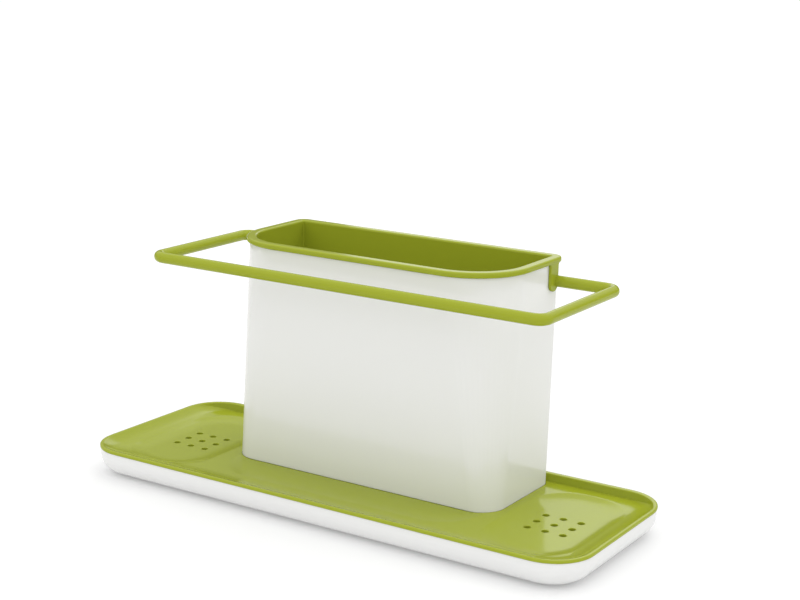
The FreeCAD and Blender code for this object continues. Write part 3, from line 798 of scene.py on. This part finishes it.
drainer_parts += [
    band(seat_rings),
    flat(seat_plan[-1], under_seat, SEAT_FLOOR),
    flat(lip_rings[-1, :, :2], floor_holes, pan_height, within=floor_points),
    flat(lip_rings[0, :, :2], [*under_holes, *under_seat], PAN_UNDER, faces_up=False),
]
drainer_parts += [tunnel(loop, SEAT_FLOOR, PAN_UNDER) for loop in under_seat]
make_piece("drainer_dressed", drainer_parts, green_plastic, "drainer", "green_plastic", "drainer_tray")

# %% Build the container
box_section = rounded(
    [(BOX_FOOT_FLAT, box_low.z), (0, box_low.z), (0, box_high.z), (BOX_WALL, box_high.z),
     (BOX_WALL, BOX_FLOOR), (BOX_COVE_END, BOX_FLOOR)],
    [BOX_FOOT_ROUND, BOX_MOUTH_ROUND, BOX_MOUTH_ROUND, BOX_COVE],
)
weep_steps = range(-2, 3)
weeps = [circle(x * WEEP_PITCH, WEEP_Y, WEEP_RADIUS) for x in weep_steps]
weeps_eased = [circle(x * WEEP_PITCH, WEEP_Y, WEEP_RADIUS + HOLE_EASE) for x in weep_steps]
box_shell = box_rings(*box_section.T)
box_parts = [
    band(box_shell),
    flat(box_shell[-1, :, :2], weeps_eased, BOX_FLOOR),
    flat(box_shell[0, :, :2], weeps, box_low.z, faces_up=False),
]
box_parts += [tunnel(loop, BOX_FLOOR, box_low.z, HOLE_EASE) for loop in weeps]
make_piece("container_dressed", box_parts, white_plastic, "container", "white_plastic", "container")

# %% [markdown]
# ## Rim frame
# The green frame caps the container's mouth. Its section is a hook: a rounded bead on top of the wall and
# a lining that hangs down inside it, leaning with the front and back walls. The hook could be carried
# along the mouth as a curve's bevel, but rings made by the container's own rule stay parallel to its wall.
# The frame's mesh is finished after the rail, together with the two tabs that hang outside the wall.

# %% Sizes and section of the frame
rim_low, rim_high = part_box("rim_frame")
RIM_OVER = 1.9 * MM
LINING_OUT = 2.6 * MM
LINING_IN = 4.2 * MM
SEAM = 1 * MM
BEAD_UNDER_ROUND = 0.9 * MM
BEAD_ROUND = 1.3 * MM
LINING_ROUND = 0.5 * MM
HOOK_ROUND = 0.3 * MM
rim_section = rounded(
    [(SEAM, box_high.z), (-RIM_OVER, box_high.z), (-RIM_OVER, rim_high.z), (LINING_IN, rim_high.z),
     (LINING_IN, rim_low.z), (LINING_OUT, rim_low.z), (LINING_OUT, box_high.z), (SEAM, box_high.z)],
    [BEAD_UNDER_ROUND, BEAD_ROUND, BEAD_ROUND, LINING_ROUND, LINING_ROUND, HOOK_ROUND],
)[:-1]


def rim_rings(inset, height):
    """Outlines of the frame: the mouth's moved in, its front and back leaning as the container's do."""
    lean = (BOX_MOUTH - BOX_FOOT) * [0, 1, 1, 0, 0] / (box_high.z - box_low.z)
    mixed = BOX_MOUTH + MOVE_IN * inset[:, None] + lean * np.minimum(height - box_high.z, 0)[:, None]
    return at_heights(outlines(*mixed.T), height)


print("the lining's depth in mm:", round((box_high.z - rim_low.z) / MM, 1))

# %% [markdown]
# ## Cloth rail
# A round bar runs level from one tab round the front to the other, with a tight bend at each corner. A
# bevelled curve could draw it, but the bar turns square at its ends, where spigots plug into the tabs. So
# a section is carried along the path as rings, and the last rings on each side are square.

# %% The rail's path
rail_low, rail_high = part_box("cloth_rail")
RAIL_RADIUS = (rail_high.z - rail_low.z) / 2
RAIL_HEIGHT = (rail_high.z + rail_low.z) / 2
RAIL_HALF = rail_high.x - RAIL_RADIUS
RAIL_FRONT = rail_low.y + RAIL_RADIUS
RAIL_BACK = rail_high.y - RAIL_RADIUS
RAIL_CORNER = 6.2 * MM
TAB_THICK = 1.5 * MM
TAB_GAP = 0.2 * MM
TAB_FACE = box_high.x + TAB_GAP + TAB_THICK
SPIGOT_HALF = 1.5 * MM
SPIGOT_REACH = 1.3 * MM
SPIGOT_BACK = 52.3 * MM

rail_corners = outlines(RAIL_HALF, RAIL_FRONT, RAIL_BACK, RAIL_CORNER, RAIL_CORNER)[0].reshape(4, -1, 2)
right = np.concatenate([[[TAB_FACE, RAIL_BACK]], rail_corners[1, ::-1], rail_corners[0, ::-1]])
path = np.concatenate([right, (right * [-1, 1])[::-1]])
ahead = np.diff(path, axis=0)
ahead /= np.linalg.norm(ahead, axis=1)[:, None]
heading = np.concatenate([ahead[:1], ahead[:-1] + ahead[1:], ahead[-1:]])
heading /= np.linalg.norm(heading, axis=1)[:, None]
print("the rail's length in mm:", round(np.linalg.norm(np.diff(path, axis=0), axis=1).sum() / MM))

# %% Carry the bar along the path
BAR_POINTS = 32


def carried(section, path, heading):
    """A closed section of (sideways, up) pairs carried along a level path, across its heading.

    Each point is the path's point, plus the pair's first number times the heading turned a quarter left,
    at the rail's height plus the pair's second number."""
    sideways = np.stack([-heading[:, 1], heading[:, 0]], -1)
    level = path[:, None] + section[None, :, :1] * sideways[:, None]
    up = np.broadcast_to(section[None, :, 1:], (len(path), len(section), 1)) + RAIL_HEIGHT
    return np.concatenate([level, up], -1)


bar_angle = np.linspace(0, 2 * np.pi, BAR_POINTS, endpoint=False)
bar_section = np.stack([np.cos(bar_angle), np.sin(bar_angle)], -1)
square_section = bar_section / np.abs(bar_section).max(1, keepdims=True) * SPIGOT_HALF
spigot = np.array([[TAB_FACE - SPIGOT_REACH, SPIGOT_BACK], [TAB_FACE, SPIGOT_BACK]])
ends = np.concatenate([spigot, (spigot * [-1, 1])[::-1]])
square_rings = carried(square_section, ends, np.repeat([ahead[0], ahead[-1]], 2, 0))
bar_rings = carried(bar_section * RAIL_RADIUS, path, heading)
rail_rings = np.concatenate([square_rings[:2], bar_rings, square_rings[2:]])


def cap(ring):
    """Triangles from a ring to its middle."""
    number = np.arange(len(ring))
    centre = np.full(len(ring), len(ring))
    triangles = np.stack([number, centre, np.roll(number, -1)], -1)
    return np.concatenate([ring, ring.mean(0, keepdims=True)]), triangles


rail_parts = [band(rail_rings), cap(rail_rings[0]), cap(rail_rings[-1][::-1])]
make_piece("cloth_rail_dressed", rail_parts, green_plastic, "frame", "green_plastic", "cloth_rail")

# %% [markdown]
# ## Tabs
# Each tab is a small plate that hangs from the rim outside the container's wall and takes the rail's end.
# Seen from the end of the caddy it is a straight strip with a half-round foot below and a flare where it
# meets the rim. A plain box would do for its size, but the round foot and the flare are what one sees, so
# its outline is worked out from arcs, and rings of that outline ease its edge.

# %% A tab's outline
TAB_BACK = 50.1 * MM
TAB_HALF = 4.7 * MM
TAB_FLARE = 1.5 * MM
TAB_END = 5.6 * MM
TAB_TOP = box_high.z + 1.6 * MM
TAB_EASE = 0.5 * MM


def tab_outline(inset):
    """A tab seen from its end, as (across, up): straight sides, a half-round foot and a flare at the rim.

    The foot is half a circle of the tab's half width, and the flare a quarter circle beside each side."""
    foot_up = RAIL_HEIGHT - TAB_END + TAB_HALF
    foot_turn = np.linspace(np.pi, 2 * np.pi, 17)[1:-1]
    flare_turn = np.linspace(np.pi, np.pi / 2, 9)
    foot = np.stack([np.cos(foot_turn), np.sin(foot_turn)], -1) * (TAB_HALF - inset) + [0, foot_up]
    sweep = np.stack([np.cos(flare_turn), np.sin(flare_turn)], -1) * (TAB_FLARE + inset)
    flare = sweep + [TAB_HALF + TAB_FLARE, box_high.z - TAB_FLARE]
    top = np.array([[TAB_HALF + TAB_FLARE, TAB_TOP - inset]])
    right = np.concatenate([[[TAB_HALF - inset, foot_up]], flare, top])
    left = (right * [-1, 1])[::-1]
    return np.concatenate([foot, right, left]) + [TAB_BACK, 0]


# %% Build the frame with its tabs
# The section starts on the tab's face, one ease in from its edge, and ends at its back.
tab_section = rounded([(2 * TAB_EASE, 0), (0, 0), (0, -TAB_THICK)], [TAB_EASE], 4)
tab_section = np.concatenate([tab_section[1:], [[0, -TAB_THICK]]])
rim_parts = [band(rim_rings(*rim_section.T), closed=True)]
for side in (-1, 1):
    rings = np.stack([tab_outline(inset) for inset in tab_section[:, 0]])
    away = np.broadcast_to(side * (TAB_FACE + tab_section[:, 1])[:, None, None], (*rings.shape[:2], 1))
    rings = np.concatenate([away, rings], -1)
    face, triangles = flat(rings[0, :, 1:], [], 0)
    outer = np.column_stack([np.full(len(face), side * TAB_FACE), face[:, :2]])
    back, back_triangles = flat(rings[-1, :, 1:], [], 0, faces_up=False)
    inner = np.column_stack([np.full(len(back), side * (TAB_FACE - TAB_THICK)), back[:, :2]])
    wall_points, wall_faces = band(rings)
    turn_round = slice(None, None, side)
    rim_parts += [(outer, triangles[:, turn_round]), (inner, back_triangles[:, turn_round])]
    rim_parts += [(wall_points, wall_faces[:, ::-side])]
make_piece("rim_frame_dressed", rim_parts, green_plastic, "frame", "green_plastic", "rim_frame")

# %% [markdown]
# ## Finish
# The dressed caddy's box is set against the imported one's, and how much it has grown on each axis is
# printed. The dressed caddy must keep the size of the imported one.

# %% Compare the sizes and finish
shown_low, shown_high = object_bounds()
shown_size, cad_size = shown_high - shown_low, cad_high - cad_low
print("grown by, in mm:", [round((shown - cad) / MM, 2) for shown, cad in zip(shown_size, cad_size)])
